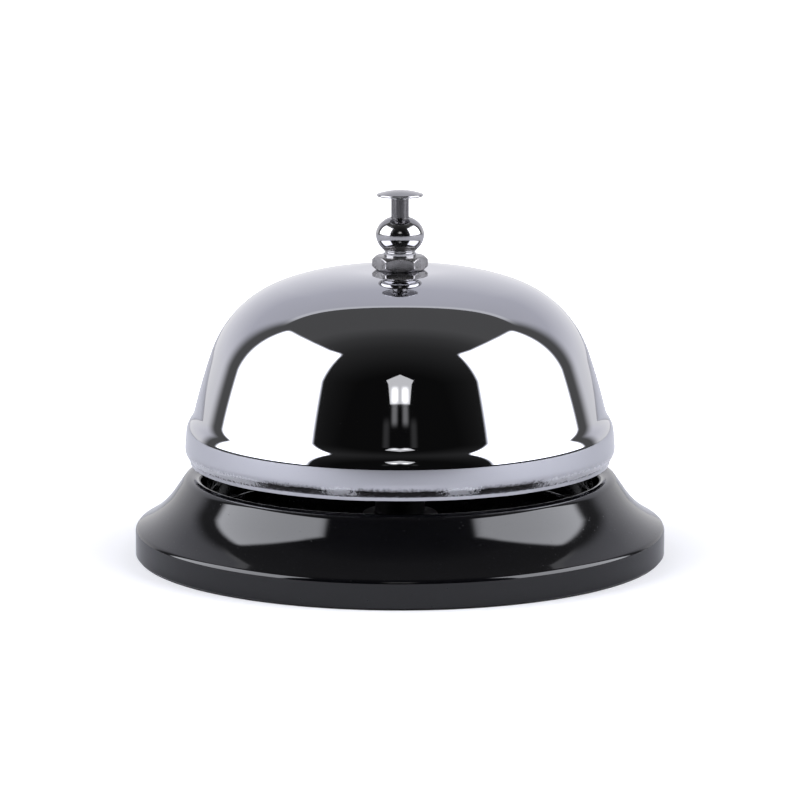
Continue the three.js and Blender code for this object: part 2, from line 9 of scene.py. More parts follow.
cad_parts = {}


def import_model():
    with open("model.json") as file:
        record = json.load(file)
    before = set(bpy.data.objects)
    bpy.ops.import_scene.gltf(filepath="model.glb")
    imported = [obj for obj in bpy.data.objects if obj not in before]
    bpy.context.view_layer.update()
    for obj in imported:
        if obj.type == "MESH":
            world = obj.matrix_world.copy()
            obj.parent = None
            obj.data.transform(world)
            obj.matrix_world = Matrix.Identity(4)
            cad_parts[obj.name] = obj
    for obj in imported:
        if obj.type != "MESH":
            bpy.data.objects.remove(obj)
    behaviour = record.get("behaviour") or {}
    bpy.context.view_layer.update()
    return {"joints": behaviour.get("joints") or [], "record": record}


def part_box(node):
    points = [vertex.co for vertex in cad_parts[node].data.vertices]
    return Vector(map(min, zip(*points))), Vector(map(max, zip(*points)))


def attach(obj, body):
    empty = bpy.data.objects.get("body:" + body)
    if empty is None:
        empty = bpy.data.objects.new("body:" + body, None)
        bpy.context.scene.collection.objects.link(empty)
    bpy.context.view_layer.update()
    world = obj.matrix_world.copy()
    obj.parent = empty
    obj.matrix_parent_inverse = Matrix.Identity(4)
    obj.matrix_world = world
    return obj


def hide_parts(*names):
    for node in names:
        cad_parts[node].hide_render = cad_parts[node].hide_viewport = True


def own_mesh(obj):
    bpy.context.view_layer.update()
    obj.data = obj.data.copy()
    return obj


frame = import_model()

MM = 0.001

# ---- Sizes taken from the frame, in millimetres ------------------------------------------


def low(node):
    """Lowest corner of a node at rest, in millimetres."""
    return [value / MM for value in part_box(node)[0]]


def high(node):
    """Highest corner of a node at rest, in millimetres."""
    return [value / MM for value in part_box(node)[1]]


BASE_RADIUS = high("base_shell")[0]
BASE_LIFT = low("base_shell")[2]
DOME_TOP = high("dome")[2]
NUT_TOP = high("jam_nut")[2]
BALL_RADIUS = high("finial")[0]
BALL_TOP = high("finial")[2]
SHANK_BOTTOM = low("finial")[2]
CAP_RADIUS = high("button_cap")[0]
CAP_TOP = high("button_cap")[2]
CAP_HUB_BOTTOM = low("button_cap")[2]
STEM_RADIUS = high("plunger_rod")[0]
POST_TOP = high("centre_post")[2]
POST_BOTTOM = low("centre_post")[2]
PIVOT = [value / MM for value in
         next(j for j in frame["joints"] if j["name"] == "hammer_swing")["pos_m"]]

# Sheet, fits and bends that the boxes don't give
DOME_SHEET = 0.9
BASE_SHEET = 0.8
DOME_HOLE_RADIUS = 2.6
TUCK_TOP = 17.3
WELL_FLOOR = 5.0
WELL_FILLET = 1.2
FLOOR_HOLE_RADIUS = 3.05
HALF_TRAVEL = 1.4    # half of the button's stroke
TOUCH = 0.02         # gap between faces that rest on each other
RUNNING = 0.07       # gap round a part that slides or turns in another
CUT_REACH = 5.0      # how far a cutting shape goes to each side of a thin part

# ---- Outlines ----------------------------------------------------------------------------

CORNER_SHARE = 0.4   # the most that a corner's round takes of a side next to it


def sheet_path(start, heading_degrees, steps, offset=0.0, degrees_per_point=2.0):
    """A sheet section as straight runs and bends; offset gives the face to its left.

    A step is ("run", length) or ("bend", radius, turn), where a left turn is positive.
    """
    heading = math.radians(heading_degrees)
    r = start[0] - offset * math.sin(heading)
    z = start[1] + offset * math.cos(heading)
    points = [(r, z)]
    for step in steps:
        if step[0] == "run":
            r += step[1] * math.cos(heading)
            z += step[1] * math.sin(heading)
            points.append((r, z))
            continue
        _, bend, turn = step
        side = math.copysign(1.0, turn)
        radius = bend - side * offset
        centre_r = r - side * radius * math.sin(heading)
        centre_z = z + side * radius * math.cos(heading)
        count = max(2, round(abs(turn) / degrees_per_point))
        step_angle = math.radians(turn) / count
        for _ in range(count):
            heading += step_angle
            r = centre_r + side * radius * math.sin(heading)
            z = centre_z - side * radius * math.cos(heading)
            points.append((r, z))
    return points


def rounded(points, radius, steps=3):
    """A closed outline with each corner turned into a small round."""
    loop = [Vector(point) for point in points[:-1]]
    result = []
    for i, corner in enumerate(loop):
        before = loop[i - 1] - corner
        after = loop[(i + 1) % len(loop)] - corner
        reach = min(radius, before.length * CORNER_SHARE, after.length * CORNER_SHARE)
        a = corner + before.normalized() * reach
        b = corner + after.normalized() * reach
        for k in range(steps + 1):
            t = k / steps
            mixed = a * (1 - t) ** 2 + corner * 2 * t * (1 - t) + b * t ** 2
            result.append((mixed.x, mixed.y))
    return result + result[:1]


def ring_outline(inner, outer, bottom, top, soft):
    """A washer's section with its corners broken."""
    corners = [(inner, bottom), (outer, bottom), (outer, top), (inner, top), (inner, bottom)]
    return rounded(corners, soft, 2)


def arc(centre, radius, height, start, end, steps):
    """Points on a part of an ellipse, both ends included. The angles are in degrees."""
    points = []
    for k in range(steps + 1):
        angle = math.radians(start + (end - start) * k / steps)
        points.append((centre[0] + radius * math.cos(angle), centre[1] + height * math.sin(angle)))
    return points


def circle(radius, centre=(0, 0), sides=48):
    """Points round a full circle, without the first one again at the end."""
    return arc(centre, radius, radius, 0, 360, sides)[:-1]


def corner_arc(x, y, radius, start, end, steps):
    """Points on a round corner or end, about its centre."""
    return arc((x, y), radius, radius, start, end, steps)


# ---- Mesh builders -----------------------------------------------------------------------

WELD = 1e-5          # vertices nearer to each other than this are made one
ON_AXIS = 1e-6       # a smaller radius than this is on the axis
SHARP_ANGLE = 38     # an edge between faces at a greater angle than this stays sharp


def spun(r, z, angle):
    """The place of a section's point, turned about Z."""
    return r * math.cos(angle), r * math.sin(angle), z


def finish_mesh(name, bm, sharp_angle):
    """Turns a bmesh in millimetres into a smooth-shaded object in metres."""
    bmesh.ops.remove_doubles(bm, verts=bm.verts, dist=WELD)
    bmesh.ops.recalc_face_normals(bm, faces=bm.faces)
    for face in bm.faces:
        face.smooth = True
    for edge in bm.edges:
        if len(edge.link_faces) == 2 and edge.calc_face_angle(0.0) > math.radians(sharp_angle):
            edge.smooth = False
    bmesh.ops.scale(bm, vec=(MM, MM, MM), verts=bm.verts)
    mesh = bpy.data.meshes.new(name)
    bm.to_mesh(mesh)
    bm.free()
    return linked(name, mesh)


def linked(name, data):
    """A new object in the scene."""
    piece = bpy.data.objects.new(name, data)
    bpy.context.scene.collection.objects.link(piece)
    return piece


def revolved(outline, sides=96, shape=None):
    """Turns [radius, height] points about Z. shape may change a point by its angle."""
    bm = bmesh.new()
    closed = outline[0] == outline[-1]
    loop = outline[:-1] if closed else outline
    columns = []
    axis_verts = {}
    for k in range(sides):
        angle = 2 * math.pi * k / sides
        column = []
        for i, (r, z) in enumerate(loop):
            if shape:
                r, z = shape(r, z, angle)
            if r >= ON_AXIS:
                column.append(bm.verts.new(spun(r, z, angle)))
                continue
            if i not in axis_verts:
                axis_verts[i] = bm.verts.new((0, 0, z))
            column.append(axis_verts[i])
        columns.append(column)
    segments = len(loop) if closed else len(loop) - 1
    for k in range(sides):
        here = columns[k]
        there = columns[(k + 1) % sides]
        for i in range(segments):
            j = (i + 1) % len(loop)
            corners = []
            for vert in (here[i], there[i], there[j], here[j]):
                if vert not in corners:
                    corners.append(vert)
            if len(corners) > 2:
                bm.faces.new(corners)
    return bm


def skin(bm, rings, closed=False):
    """Faces from each ring of vertices to the next. Rings that don't close get two end faces."""
    count = len(rings)
    for k in range(count if closed else count - 1):
        here, there = rings[k], rings[(k + 1) % count]
        for i in range(len(here)):
            j = (i + 1) % len(here)
            bm.faces.new((here[i], there[i], there[j], here[j]))
    if not closed:
        bm.faces.new(rings[0])
        bm.faces.new(rings[-1][::-1])


def prism(outline, low_z, high_z):
    """A flat outline of [x, y] points made solid between two heights."""
    bm = bmesh.new()
    bottom = [bm.verts.new((x, y, low_z)) for x, y in outline]
    top = [bm.verts.new((x, y, high_z)) for x, y in outline]
    bm.faces.new(bottom[::-1])
    bm.faces.new(top)
    count = len(outline)
    for i in range(count):
        j = (i + 1) % count
        bm.faces.new((bottom[i], bottom[j], top[j], top[i]))
    return bm


def moved(bm, matrix):
    """Moves or turns a bmesh and gives it back."""
    bmesh.ops.transform(bm, matrix=matrix, verts=bm.verts)
    return bm


# Lays a prism drawn in X and Y, with its depth along Z, into the XZ plane with its depth along Y
UPRIGHT = Matrix.Rotation(math.radians(90), 4, "X")


def bar_along_y(radius, half_length, x=0.0, z=0.0):
    bm = prism(circle(radius), -half_length, half_length)
    return moved(bm, Matrix.Translation((x, 0, z)) @ UPRIGHT)


def combined(body, adds=(), cuts=()):
    """A bmesh with others joined to it and cut from it. All are in millimetres."""
    things = []
    for bm in (body, *adds, *cuts):
        bmesh.ops.recalc_face_normals(bm, faces=bm.faces)
        mesh = bpy.data.meshes.new("blank")
        bm.to_mesh(mesh)
        bm.free()
        things.append(linked("blank", mesh))
    target = things[0]
    for i, tool in enumerate(things[1:]):
        step = target.modifiers.new("step", "BOOLEAN")
        step.operation = "UNION" if i < len(adds) else "DIFFERENCE"
        step.solver = "EXACT"
        step.object = tool
    bpy.context.view_layer.update()
    shaped = target.evaluated_get(bpy.context.evaluated_depsgraph_get())
    result = bmesh.new()
    result.from_mesh(shaped.to_mesh())
    shaped.to_mesh_clear()
    for thing in things:
        bpy.data.objects.remove(thing)
    return result


def soften(piece, width, segments=2, angle=40):
    """Breaks a piece's sharp edges by a width in millimetres."""
    bevel = piece.modifiers.new("edge_round", "BEVEL")
    bevel.width = width * MM
    bevel.segments = segments
    bevel.limit_method = "ANGLE"
    bevel.angle_limit = math.radians(angle)


# ---- Material helpers --------------------------------------------------------------------

# Nearly all of a noise lies between these two
NOISE_LOW = 0.3
NOISE_HIGH = 0.7


class Tree:
    """Short ways to add nodes to a node tree and to link them."""

    def __init__(self, tree):
        self.tree = tree

    def add(self, kind, **values):
        node = self.tree.nodes.new(kind)
        for key, value in values.items():
            setattr(node, key, value)
        return node

    def link(self, output, socket):
        self.tree.links.new(output, socket)

    def split(self, vector):
        node = self.add("ShaderNodeSeparateXYZ")
        self.link(vector, node.inputs[0])
        return node.outputs

    def length(self, vector):
        node = self.add("ShaderNodeVectorMath", operation="LENGTH")
        self.link(vector, node.inputs[0])
        return node.outputs["Value"]

    def math(self, operation, *values):
        """Works with outputs and with plain numbers."""
        node = self.add("ShaderNodeMath", operation=operation)
        for value, socket in zip(values, node.inputs):
            if isinstance(value, float):
                socket.default_value = value
            else:
                self.link(value, socket)
        return node.outputs[0]

    def times(self, a, b):
        return self.math("MULTIPLY", a, b)

    def plus(self, a, b):
        return self.math("ADD", a, b)

    def spread(self, value, low_in, high_in, low_out=0.0, high_out=1.0, kind="LINEAR"):
        """Takes a value from one range to another and keeps it within the second."""
        node = self.add("ShaderNodeMapRange", interpolation_type=kind)
        node.inputs["From Min"].default_value = low_in
        node.inputs["From Max"].default_value = high_in
        node.inputs["To Min"].default_value = low_out
        node.inputs["To Max"].default_value = high_out
        self.link(value, node.inputs["Value"])
        return node.outputs["Result"]

    def ramp(self, value, stops):
        """Colours along a value, from pairs of a place and a colour."""
        node = self.add("ShaderNodeValToRGB")
        marks = node.color_ramp.elements
        while len(marks) < len(stops):
            marks.new(0.5)
        for mark, (place, colour) in zip(marks, stops):
            mark.position = place
            mark.color = (*colour, 1)
        self.link(value, node.inputs[0])
        return node.outputs["Color"]

    def blend(self, factor, first, second):
        """Goes from the first colour to the second. Each is an output or a plain colour."""
        node = self.add("ShaderNodeMix", data_type="RGBA")
        for name, colour in (("A", first), ("B", second)):
            if isinstance(colour, tuple):
                node.inputs[name].default_value = (*colour, 1)
            else:
                self.link(colour, node.inputs[name])
        self.link(factor, node.inputs["Factor"])
        return node.outputs["Result"]

    def mix_shaders(self, factor, first, second):
        node = self.add("ShaderNodeMixShader")
        self.link(factor, node.inputs["Fac"])
        self.link(first.outputs[0], node.inputs[1])
        self.link(second.outputs[0], node.inputs[2])
        return node


class Finish(Tree):
    """A procedural material around one Principled shader."""

    def __init__(self, name, metallic=0.0):
        self.material = bpy.data.materials.new(name)
        self.material.use_nodes = True
        super().__init__(self.material.node_tree)
        self.shader = self.tree.nodes["Principled BSDF"]
        self.shader.inputs["Metallic"].default_value = metallic
        self.place = self.add("ShaderNodeTexCoord").outputs["Object"]

    def noise(self, scale, detail=3.0, roughness=0.55, vector=None):
        node = self.add("ShaderNodeTexNoise")
        node.inputs["Scale"].default_value = scale
        node.inputs["Detail"].default_value = detail
        node.inputs["Roughness"].default_value = roughness
        self.link(vector or self.place, node.inputs["Vector"])
        return node.outputs["Fac"]

    def varied(self, value, low_out, high_out):
        """Takes a noise to a range."""
        return self.spread(value, NOISE_LOW, NOISE_HIGH, low_out, high_out)

    def stretched(self, x, y, z):
        node = self.add("ShaderNodeMapping")
        node.inputs["Scale"].default_value = (x, y, z)
        self.link(self.place, node.inputs["Vector"])
        return node.outputs["Vector"]

    def lathe_place(self):
        """Radius and height only, so that a noise on it makes rings round the axis."""
        place = self.split(self.place)
        flat = self.add("ShaderNodeCombineXYZ")
        self.link(place["X"], flat.inputs["X"])
        self.link(place["Y"], flat.inputs["Y"])
        joined = self.add("ShaderNodeCombineXYZ")
        self.link(self.length(flat.outputs[0]), joined.inputs["X"])
        self.link(place["Z"], joined.inputs["Y"])
        return joined.outputs[0]

    def rings(self, scale, depth_mm):
        """Fine tool rings round the axis, as a normal."""
        return self.bump(self.noise(scale, detail=2.0, vector=self.lathe_place()), depth_mm)

    def colour(self, factor, dark, light):
        self.link(self.blend(factor, dark, light), self.shader.inputs["Base Color"])

    def roughness(self, value):
        self.link(value, self.shader.inputs["Roughness"])

    def bump(self, value, depth_mm, under=None):
        """Adds relief of a depth in millimetres, on top of an earlier bump's normal."""
        node = self.add("ShaderNodeBump")
        node.inputs["Strength"].default_value = 1.0
        node.inputs["Distance"].default_value = depth_mm * MM
        self.link(value, node.inputs["Height"])
        if under:
            self.link(under, node.inputs["Normal"])
        self.link(node.outputs["Normal"], self.shader.inputs["Normal"])
        return node.outputs["Normal"]


# ---- Materials ---------------------------------------------------------------------------

CHROME_DARK = (0.5, 0.502, 0.53)
CHROME_LIGHT = (0.545, 0.548, 0.578)
# The tucked edge's belt: heights that it comes in over from above and from below, how ragged its
# limits are, its colour painted dark as a reflection of the black base where it is smooth, and its
# colour painted pale as a reflection of the white floor where it is rough
BELT_TOP = (17.1, 16.5)
BELT_BOTTOM = (15.6, 15.85)
BELT_RAGGED = 0.35
# Painted dark reflection of the black base, in the belt's smooth stretches
BELT_PAINTED_DARK_REFLECTION = (0.05, 0.046, 0.045)
# Painted pale reflection of the white floor, in the belt's rough stretches
BELT_PAINTED_PALE_REFLECTION = (0.85, 0.85, 0.88)
PAINTED_DARK_REFLECTION_SHARE = 0.93
ROUGH_ADDED = 0.4
# Stretches of the belt by distance from the middle plane, as shares of DULL_REACH, with how
# rough each one is; the rough ones get the painted pale reflection, the others the painted dark one
DULL_REACH = 34.0
DULL_RAGGED = 1.8
DULL_BANDS = [(0.0, 0.0), (0.18, 0.0), (0.225, 1.0), (0.32, 1.0), (0.36, 0.0), (0.6, 0.0),
              (0.68, 1.0)]


def chrome_material():
    """Bright plate on a spun dome: faint spinning rings, soft polish haze, a badly polished tuck
    with painted reflections.

    The tucked edge is out of the polishing wheel's reach. It is rough and painted pale, a painted
    reflection of the white floor, in some stretches. It is painted dark, a painted reflection of
    the black base, in the others. Its limits are ragged.
    """
    n = Finish("chrome_plate", metallic=1.0)
    place = n.split(n.place)
    haze = n.noise(70.0, detail=4.0)
    ragged = n.noise(1900.0, detail=5.0, roughness=0.75)
    rise = n.plus(place["Z"], n.varied(ragged, -BELT_RAGGED * MM, BELT_RAGGED * MM))
    belt = n.times(n.spread(rise, BELT_TOP[0] * MM, BELT_TOP[1] * MM),
                   n.spread(rise, BELT_BOTTOM[0] * MM, BELT_BOTTOM[1] * MM))
    across = n.plus(n.math("ABSOLUTE", place["X"]),
                    n.varied(ragged, -DULL_RAGGED * MM, DULL_RAGGED * MM))
    dull = n.ramp(n.spread(across, 0.0, DULL_REACH * MM),
                  [(share, (level, level, level)) for share, level in DULL_BANDS])
    rough_painted_pale_belt = n.times(belt, dull)
    # Where the belt is smooth, its colour is painted dark as a reflection of the black base
    painted_dark_reflection_belt = n.times(belt, n.spread(dull, 0.0, 1.0, PAINTED_DARK_REFLECTION_SHARE, 0.0))
    plate = n.blend(haze, CHROME_DARK, CHROME_LIGHT)
    plate_with_painted_dark_reflection = n.blend(painted_dark_reflection_belt, plate, BELT_PAINTED_DARK_REFLECTION)
    # Where the belt is rough, its colour is painted pale as a reflection of the white floor
    n.link(n.blend(rough_painted_pale_belt, plate_with_painted_dark_reflection, BELT_PAINTED_PALE_REFLECTION), n.shader.inputs["Base Color"])
    n.roughness(n.plus(n.varied(haze, 0.022, 0.04), n.times(rough_painted_pale_belt, ROUGH_ADDED)))
    rings = n.rings(1400.0, 0.0006)
    n.bump(n.times(ragged, belt), 0.012, under=rings)
    return n.material


def paint_material():
    """Gloss black enamel with a trace of orange peel and a few dull specks."""
    n = Finish("black_enamel")
    n.colour(n.noise(120.0), (0.0018, 0.0018, 0.0024), (0.003, 0.003, 0.0038))
    n.shader.inputs["IOR"].default_value = 1.5
    specks = n.spread(n.noise(2600.0, detail=1.0), 0.72, 0.78, 0.0, 0.25)
    n.roughness(n.plus(n.varied(n.noise(45.0), 0.04, 0.085), specks))
    n.bump(n.noise(320.0, detail=2.0), 0.0025)
    return n.material


def nickel_material():
    """Turned and plated metal with fine tool rings about the post's axis."""
    n = Finish("polished_nickel", metallic=1.0)
    n.colour(n.noise(260.0, detail=5.0), (0.34, 0.335, 0.34), (0.46, 0.455, 0.46))
    n.roughness(n.varied(n.noise(420.0, detail=4.0), 0.08, 0.15))
    rings = n.rings(2200.0, 0.0012)
    n.bump(n.noise(3000.0, detail=2.0), 0.0012, under=rings)
    return n.material


def black_oxide_and_painted_shade_material():
    """Chemically blackened steel with a trace of oil and lighter worn patches; its near-black
    colour is also painted shade, as dark as the shade inside the dome.
    """
    n = Finish("black_oxide_steel_painted_shade", metallic=0.2)
    n.shader.inputs["Specular IOR Level"].default_value = 0.15
    blotch = n.noise(350.0, detail=5.0)
    # Near black: the post's own finish, and also painted shade for the post under the dome
    n.colour(n.spread(blotch, 0.45, 0.75), (0.003, 0.003, 0.0034), (0.014, 0.0135, 0.013))
    n.roughness(n.varied(blotch, 0.5, 0.72))
    rings = n.rings(1800.0, 0.004)
    n.bump(n.noise(2600.0, detail=3.0), 0.003, under=rings)
    return n.material


def drawn_material():
    """Drawn steel rod: fine streaks along its length."""
    n = Finish("drawn_steel", metallic=1.0)
    streaks = n.noise(1.0, detail=4.0, vector=n.stretched(2600.0, 2600.0, 70.0))
    n.colour(streaks, (0.07, 0.068, 0.07), (0.2, 0.196, 0.2))
    n.roughness(n.varied(streaks, 0.22, 0.36))
    n.bump(streaks, 0.006)
    return n.material


def grainy_material(name, dark, light, rough_low, rough_high, scale=900.0, depth_mm=0.012):
    """Plated steel with a fine tumbled grain."""
    n = Finish(name, metallic=1.0)
    grain = n.noise(scale, detail=6.0, roughness=0.65)
    n.colour(grain, dark, light)
    n.roughness(n.varied(n.noise(scale * 0.4, detail=4.0), rough_low, rough_high))
    n.bump(grain, depth_mm)
    return n.material


def rubber_material():
    """Matt moulded rubber with a fine grain."""
    n = Finish("moulded_rubber")
    grain = n.noise(1800.0, detail=5.0)
    n.colour(grain, (0.014, 0.014, 0.015), (0.03, 0.03, 0.031))
    n.roughness(n.varied(grain, 0.62, 0.85))
    n.bump(grain, 0.02)
    return n.material


def fibre_material():
    """Red vulcanised fibre, laid up in thin level layers."""
    n = Finish("vulcanised_fibre")
    layers = n.noise(1.0, detail=6.0, vector=n.stretched(900.0, 900.0, 3200.0))
    n.colour(layers, (0.2, 0.05, 0.03), (0.4, 0.13, 0.075))
    n.roughness(n.varied(layers, 0.6, 0.85))
    n.bump(layers, 0.02)
    return n.material


MATERIALS = {
    "chromed_dome": chrome_material(),
    "gloss_black_paint": paint_material(),
    "polished_nickel": nickel_material(),
    "satin_steel": drawn_material(),
    "dull_nut_plate": grainy_material(
        "dull_nut_plate", (0.16, 0.155, 0.155), (0.44, 0.43, 0.43), 0.2, 0.34),
    "zinc_plate": grainy_material(
        "zinc_plate", (0.42, 0.43, 0.46), (0.66, 0.67, 0.69), 0.28, 0.45, depth_mm=0.008),
    "spring_steel": grainy_material(
        "spring_steel", (0.22, 0.23, 0.26), (0.42, 0.43, 0.46), 0.25, 0.4, 1400.0, 0.005),
    "black_oxide": black_oxide_and_painted_shade_material(),
    "black_rubber": rubber_material(),
    "red_fibre": fibre_material(),
}
NODE_SLOT = {entry["node"]: entry["material_slot"] for entry in frame["record"]["subparts"]}
NODE_BODY = {node: body
             for body, nodes in frame["record"]["behaviour"]["bodies"].items()
             for node in nodes}


def stand_for(piece, node):
    """Gives a fine piece its node's finish and body, and hides the node."""
    slot = NODE_SLOT[node]
    piece.data.materials.clear()
    piece.data.materials.append(MATERIALS[slot])
    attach(piece, NODE_BODY[node])
    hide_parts(node)


def add_piece(node, bm, sharp_angle=SHARP_ANGLE, soft=None):
    """Makes a node's fine piece. soft is what soften needs, where edges are broken."""
    piece = finish_mesh(f"{node}_fine", bm, sharp_angle)
    if soft:
        soften(piece, *soft)
    stand_for(piece, node)
    return piece


# ---- Camera ------------------------------------------------------------------------------

CAMERA_DISTANCE = 0.6
CAMERA_HEIGHT = 0.130503
CAMERA_PITCH = 10.0
CAMERA_LENS = 171.33
CAMERA_SENSOR = 36.0
CAMERA_NEAR = 0.01


def make_camera():
    data = bpy.data.cameras.new("view")
    data.lens = CAMERA_LENS
    data.sensor_width = CAMERA_SENSOR
    data.clip_start = CAMERA_NEAR
    camera = linked("view", data)
    camera.location = (0, -CAMERA_DISTANCE, CAMERA_HEIGHT)
    camera.rotation_euler = (math.radians(90 - CAMERA_PITCH), 0, 0)
    bpy.context.scene.camera = camera


# ---- Base --------------------------------------------------------------------------------

BASE_STEPS = [
    ("run", 3.7),
    ("bend", 0.9, 59.5),
    ("run", 0.93),
    ("bend", 15.2, -25.3),
    ("run", 2.84),
    ("bend", 1.75, 55.8),
    ("bend", 1.7, 90),
]
BASE_SIDES = 256
RIM_ROUND = 0.12


def base_shell():
    """Stamped base: upright band, ogee, round shoulder and the well's wall and floor."""
    start = (BASE_RADIUS, BASE_LIFT)
    wall_r, wall_z = sheet_path(start, 90, BASE_STEPS)[-1]
    steps = BASE_STEPS + [
        ("run", wall_z - WELL_FLOOR - WELL_FILLET),
        ("bend", WELL_FILLET, -90),
        ("run", wall_r - WELL_FILLET - FLOOR_HOLE_RADIUS),
    ]
    upper = sheet_path(start, 90, steps, 0.0, degrees_per_point=3.0)
    lower = sheet_path(start, 90, steps, BASE_SHEET, degrees_per_point=6.0)
    upper[0] = (BASE_RADIUS, BASE_LIFT + RIM_ROUND)
    outline = upper + lower[::-1] + [(BASE_RADIUS - RIM_ROUND, BASE_LIFT), upper[0]]
    add_piece("base_shell", revolved(outline, BASE_SIDES))


def rubber_foot():
    """Ring inside the band, with a lip under the band's edge."""
    width = 1.75
    band_gap = 0.05
    soft = 0.12
    outer, _, top = high("rubber_foot")
    inner = outer - width
    band = BASE_RADIUS - BASE_SHEET - band_gap
    lip = BASE_LIFT - TOUCH
    section = [(inner, 0.0), (outer, 0.0), (outer, lip), (band, lip),
               (band, top), (inner, top), (inner, 0.0)]
    add_piece("rubber_foot", revolved(rounded(section, soft), BASE_SIDES))


# ---- Dome --------------------------------------------------------------------------------

DOME_STEPS = [
    ("run", 3.9),
    ("bend", 37.25, -20.2),
    ("bend", 18, -50.9),
    ("bend", 110.549, -4.95),
    ("bend", 4, 19.6),
    ("run", 0.2),
    ("bend", 4.2, -29.05),
    ("run", 2.28),
    ("bend", 2.2, -34),
    ("run", 0.8),
    ("bend", 0.6, 24),
    ("run", 0.4),
]
DOME_SIDES = 420
# Dents in the tucked edge: the height they come in over, and how many to a millimetre and how
# deep they are
DENT_FADE = 0.5
DENT_FLATTENING = 1.6
FINE_DENTS, FINE_DEPTH = 1.1, 0.035
BROAD_DENTS, BROAD_DEPTH = 0.16, 0.05


def tuck_dents(r, z, angle):
    """The tucked edge is rolled by hand and runs a little in and out."""
    share = min(1.0, max(0.0, (TUCK_TOP - z) / DENT_FADE))
    if share == 0.0:
        return r, z
    place = Vector(spun(r, z * DENT_FLATTENING, angle))
    fine = noise.noise(place * FINE_DENTS) * FINE_DEPTH
    broad = noise.noise(place * BROAD_DENTS) * BROAD_DEPTH
    return r + share * (fine + broad), z + share * broad


def dome():
    start = (DOME_HOLE_RADIUS, DOME_TOP)
    outer = sheet_path(start, 0, DOME_STEPS, 0.0, degrees_per_point=1.0)
    inner = sheet_path(start, 0, DOME_STEPS, -DOME_SHEET, degrees_per_point=2.0)
    lip = outer[-1]
    inside = inner[-1]
    # The cut edge is drawn out a little below the sheet's two faces
    edge = [(lip[0] - 0.1, lip[1] - 0.09), (lip[0] - 0.3, lip[1] - 0.12),
            (inside[0] + 0.2, inside[1] - 0.1)]
    outline = outer + edge + inner[::-1] + [outer[0]]
    add_piece("dome", revolved(outline, DOME_SIDES, tuck_dents))


# ---- Nuts and washers --------------------------------------------------------------------

NUT_SIDES = 240
NUT_SHARP = 20


def hex_nut(node, bore, inset, slope):
    """A nut with both ends turned to a chamfer of a slope, from an inset within the flats out."""
    corner, flat, top = high(node)
    bottom = low(node)[2]
    face = flat - inset
    bm = bmesh.new()
    columns = []
    for k in range(NUT_SIDES):
        angle = 2 * math.pi * k / NUT_SIDES
        to_flat = (angle % (math.pi / 3)) - math.pi / 6
        reach = min(flat / math.cos(to_flat), corner)
        drop = (reach - face) * slope
        section = [(bore, bottom), (face, bottom), (reach, bottom + drop),
                   (reach, top - drop), (face, top), (bore, top)]
        columns.append([bm.verts.new(spun(r, z, angle)) for r, z in section])
    skin(bm, columns, closed=True)
    add_piece(node, bm, NUT_SHARP, soft=(0.08, 3, NUT_SHARP))


def washer(node, inner, soft, sides=96):
    """A plain ring that fills its node's box, with its corners broken."""
    outline = ring_outline(inner, high(node)[0], low(node)[2], high(node)[2], soft)
    add_piece(node, revolved(outline, sides))


def lock_washer():
    """A split spring washer: one turn of square wire with a slanted cut, its ends a bit apart."""
    inner = 3.0
    rise = 0.06
    half_gap = 0.09
    slant = 0.1
    steps = 120
    outer, _, top = high("stud_lock_washer")
    bottom = low("stud_lock_washer")[2]
    thickness = top - bottom - rise
    section = ring_outline(inner, outer, 0, thickness, 0.1)[:-1]
    bm = bmesh.new()
    rings = []
    for k in range(steps + 1):
        t = k / steps
        ring = []
        for r, z in section:
            angle = half_gap + (2 * math.pi - 2 * half_gap) * t + slant * (z / thickness - 0.5)
            ring.append(bm.verts.new(spun(r, bottom + z + rise * t, angle)))
        rings.append(ring)
    skin(bm, rings)
    add_piece("stud_lock_washer", bm)


# ---- Post and spring ---------------------------------------------------------------------


def centre_post():
    """Turned post: threaded stud, flange, barrel with a window for the lever's finger."""
    thread, thread_depth, pitch = 2.95, 0.3, 0.8
    thread_from, thread_to = POST_BOTTOM + 0.3, 3.2
    rows = 40
    flange, flange_top = 6.0, WELL_FLOOR + 1.52
    flange_round = 0.2
    barrel, fillet, chamfer = 4.0, 0.4, 0.15
    bore, bore_floor = 2.5, 20.0
    window_half, window_bottom, window_top = 2, 33.0, 39.6
    seat = WELL_FLOOR + TOUCH
    # The stud's end is turned to a blunt point
    outline = [(0, POST_BOTTOM), (2.4, POST_BOTTOM), (2.7, POST_BOTTOM + 0.25)]
    outline += [(thread, thread_from + (thread_to - thread_from) * k / rows)
                for k in range(rows + 1)]
    outline += [(thread, seat), (flange - chamfer, seat), (flange, seat + chamfer),
                (flange, flange_top - flange_round), (flange - flange_round, flange_top)]
    outline += corner_arc(barrel + fillet, flange_top + fillet, fillet, -90, -180, 4)
    outline += [(barrel, POST_TOP - chamfer), (barrel - chamfer, POST_TOP),
                (bore + chamfer, POST_TOP), (bore, POST_TOP - chamfer),
                (bore, bore_floor), (0, bore_floor)]

    def cut_thread(r, z, angle):
        if r != thread or z > WELL_FLOOR:
            return r, z
        phase = (z / pitch - angle / (2 * math.pi)) % 1.0
        return r - thread_depth * abs(2 * phase - 1), z

    sides = [(0, -window_half), (2 * barrel, -window_half), (2 * barrel, window_half),
             (0, window_half)]
    window = prism(sides, window_bottom, window_top)
    bm = combined(revolved(outline, shape=cut_thread), cuts=[window])
    add_piece("centre_post", bm, sharp_angle=28)


